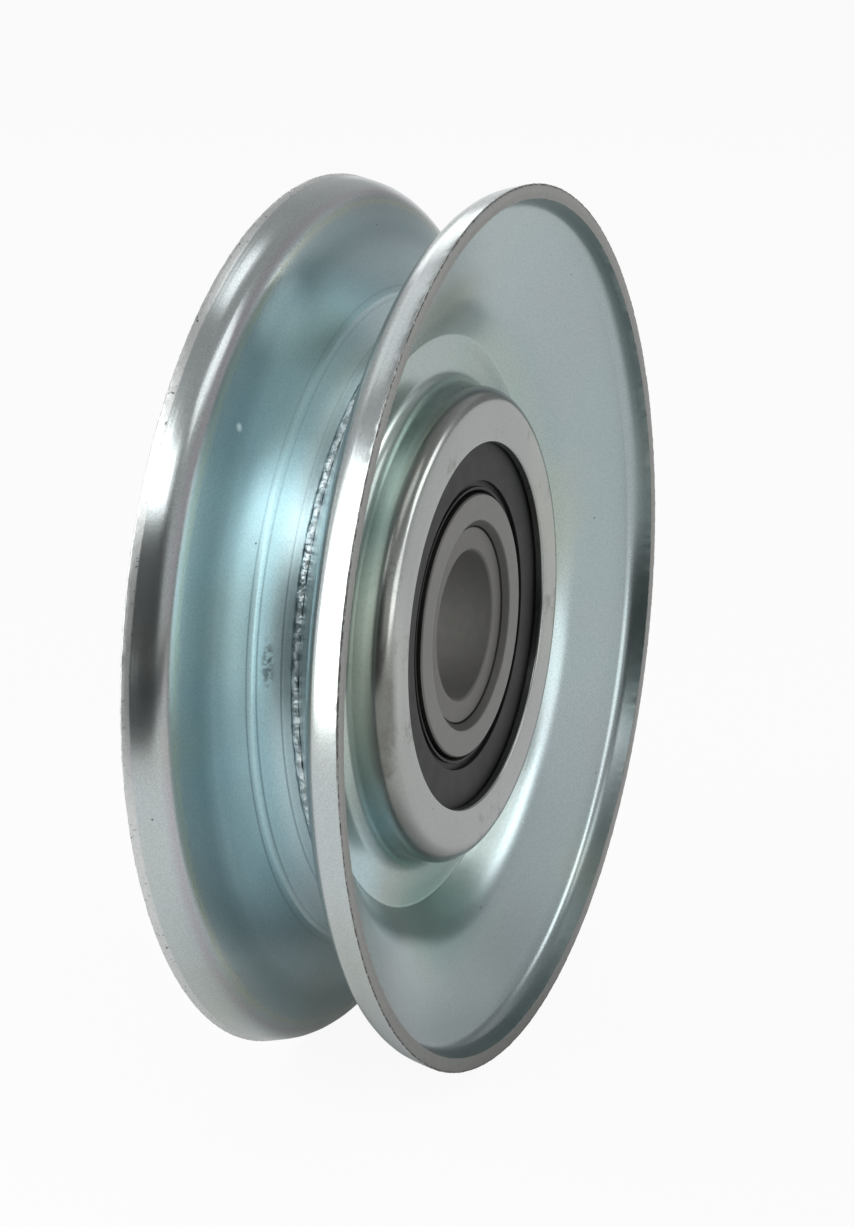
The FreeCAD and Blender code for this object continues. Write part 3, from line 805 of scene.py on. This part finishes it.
studio = {
    "floorLevel": cadBox[0].z, "floorSize": 30.0, "floorColour": (0.64, 0.64, 0.64, 1), "whitening": 0.93,
    "shadowReach": (0.07, 0.05, 1.0), "shadowDepth": 0.85,
    "cardLow": (-4.0, -1.5), "cardHigh": (-0.135, 0.06), "cardLift": 0.0005,
    "cardColour": (0.03, 0.03, 0.032, 1),
    # the room's greys, and the directions between which they change
    "roomLow": 0.68, "roomHigh": 0.45, "roomRise": (0.0, 0.8),
    "roomRight": 0.5, "rightX": (0.6, 0.95), "rightRise": (0.1, 0.35),
    "roomShade": 0.08, "shadeX": (-0.5, -0.8), "shadeRise": (0.62, 0.48),
    "backdrop": 0.975, "backdropX": (0.3, 0.6), "backdropY": (-0.15, 0.15), "backdropRise": (0.3, 0.1),
    "boxes": [
        # name, place, size, radiance
        ("leftBox", (-0.135, 0.135, 0.052), (0.145, 0.19), 2.3),
        ("upperLeftBox", (-0.70, 0.36, 0.92), (0.75, 0.40), 2.4),
        ("frontBox", (0.04, -0.287, 0.02), (0.165, 0.10), 1.4),
        ("frontHighBox", (0.152, -0.264, 0.099), (0.145, 0.085), 2.6),
        ("upperFrontBox", (-0.10, -0.62, 0.80), (0.6, 0.3), 1.2),
        ("backBox", (0.51, 0.39, 0.38), (0.26, 0.20), 1.4),
        ("backHighBox", (0.167, 0.513, 0.521), (0.42, 0.20), 0.6),
        ("behindBox", (-0.64, -0.09, 0.60), (0.45, 0.24), 2.2),
        ("topBox", (0.16, 0.0, 0.80), (0.20, 0.30), 1.25),
    ],
}


def flatSheet(name, low, high, level, material):
    (left, near), (right, far) = low, high
    mesh = bpy.data.meshes.new(name)
    corners = [(left, near, 0), (right, near, 0), (right, far, 0), (left, far, 0)]
    mesh.from_pydata(corners, [], [(0, 1, 2, 3)])
    mesh.materials.append(material)
    sheet = bpy.data.objects.new(name, mesh)
    sheet.location.z = level
    bpy.context.scene.collection.objects.link(sheet)
    return sheet


def makeFloor(setup):
    material, tree, shader = newMaterial("paleFloor", metallic=0.0, roughness=0.9)
    shader["Base Color"].default_value = setup["floorColour"]
    shader["Specular IOR Level"].default_value = 0.0
    glow = addNode(tree, "ShaderNodeEmission")
    path = addNode(tree, "ShaderNodeLightPath").outputs
    # painted shadow: what mirrors the floor sees its glow dimmed in a soft patch under the wheel, in place
    # of the wheel's own shadow
    spot = addNode(tree, "ShaderNodeTexCoord").outputs["Object"]
    under = patch(tree, spot, (0, 0, 0), setup["shadowReach"])
    lit = maths(tree, "MULTIPLY_ADD", under, -setup["shadowDepth"], 1.0)
    mirrored = times(tree, maths(tree, "MAXIMUM", path["Is Glossy Ray"], path["Is Transmission Ray"]), lit)
    seen = maths(tree, "MAXIMUM", path["Is Camera Ray"], mirrored)
    mixed = addNode(tree, "ShaderNodeMixShader")
    feed(tree, mixed.inputs[0], times(tree, seen, setup["whitening"]))
    feed(tree, mixed.inputs[1], tree.nodes["Principled BSDF"].outputs[0])
    feed(tree, mixed.inputs[2], glow.outputs[0])
    feed(tree, tree.nodes["Material Output"].inputs[0], mixed.outputs[0])
    half = setup["floorSize"] / 2
    floor = flatSheet("floor", (-half, -half), (half, half), setup["floorLevel"], material)


def makeCard(setup):
    # dark card on the floor in front of the picture, which only the metal mirrors: a painted dark reflection
    # that the camera does not see and that casts no shadow
    material, _, shader = newMaterial("darkCard", metallic=0.0, roughness=0.9)
    shader["Base Color"].default_value = setup["cardColour"]
    level = setup["floorLevel"] + setup["cardLift"]
    card = flatSheet("darkCard", setup["cardLow"], setup["cardHigh"], level, material)
    card.visible_camera = card.visible_diffuse = card.visible_shadow = False


def makeRoom(setup):
    world = bpy.data.worlds.new("studioRoom")
    bpy.context.scene.world = world
    world.use_nodes = True
    tree = world.node_tree
    x, y, z = splitVector(tree, addNode(tree, "ShaderNodeTexCoord").outputs["Generated"])
    # grey that fades upwards, dimmer low down on the right
    grey = ramp(tree, z, *setup["roomRise"], setup["roomLow"], setup["roomHigh"])
    right = maths(tree, "MAXIMUM", ramp(tree, x, *setup["rightX"], 1.0, setup["roomRight"]),
                  ramp(tree, z, *setup["rightRise"]))
    # the room is unlit behind the camera, low down
    unlit = times(tree, ramp(tree, x, *setup["shadeX"]), ramp(tree, z, *setup["shadeRise"]))
    level = blendValue(tree, unlit, times(tree, grey, right), setup["roomShade"])
    # the camera sees the same white as the floor, and the metal mirrors it where it stands behind the wheel
    path = addNode(tree, "ShaderNodeLightPath").outputs
    across = times(tree, ramp(tree, x, *setup["backdropX"]), ramp(tree, y, *setup["backdropY"]))
    wall = times(tree, across, ramp(tree, z, *setup["backdropRise"]))
    mirrored = times(tree, maths(tree, "MAXIMUM", path["Is Glossy Ray"], path["Is Transmission Ray"]), wall)
    seen = maths(tree, "MAXIMUM", path["Is Camera Ray"], mirrored)
    feed(tree, tree.nodes["Background"].inputs["Color"], blendValue(tree, seen, level, setup["backdrop"]))


def makeBox(name, spot, size, radiance):
    lamp = bpy.data.lights.new(name, "AREA")
    lamp.shape = "RECTANGLE"
    lamp.size, lamp.size_y = size
    lamp.energy = radiance * 4 * size[0] * size[1]  # power that gives this radiance over the area
    box = bpy.data.objects.new(name, lamp)
    box.location = spot
    box.visible_camera = False
    box.rotation_euler = (-Vector(spot)).to_track_quat("-Z", "Y").to_euler()
    bpy.context.scene.collection.objects.link(box)


makeFloor(studio)
makeCard(studio)
makeRoom(studio)
for box in studio["boxes"]:
    makeBox(*box)
print("studio lit by", len(studio["boxes"]), "boxes")


# camera at the photograph's angle

cameraSizes = {
    "azimuth": -67.736, "elevation": 15.166, "distance": 0.29207, "aside": 0.00081, "above": 0.000605,
    "lens": 89.43, "sensor": 36.0, "clipStart": 0.01, "clipEnd": 100,
}


def makeCamera(size):
    turn, lift = math.radians(size["azimuth"]), math.radians(size["elevation"])
    back = Vector((math.sin(turn) * math.cos(lift), -math.cos(turn) * math.cos(lift), math.sin(lift)))
    right = Vector((math.cos(turn), math.sin(turn), 0))
    up = back.cross(right)
    lens = bpy.data.cameras.new("camera")
    lens.lens, lens.sensor_width = size["lens"], size["sensor"]
    lens.clip_start, lens.clip_end = size["clipStart"], size["clipEnd"]
    camera = bpy.data.objects.new("camera", lens)
    spot = back * size["distance"] + right * size["aside"] + up * size["above"]
    camera.matrix_world = Matrix.Translation(spot) @ Matrix((right, up, back)).transposed().to_4x4()
    bpy.context.scene.collection.objects.link(camera)
    bpy.context.scene.camera = camera


makeCamera(cameraSizes)
bpy.context.scene.view_settings.view_transform = "Standard"
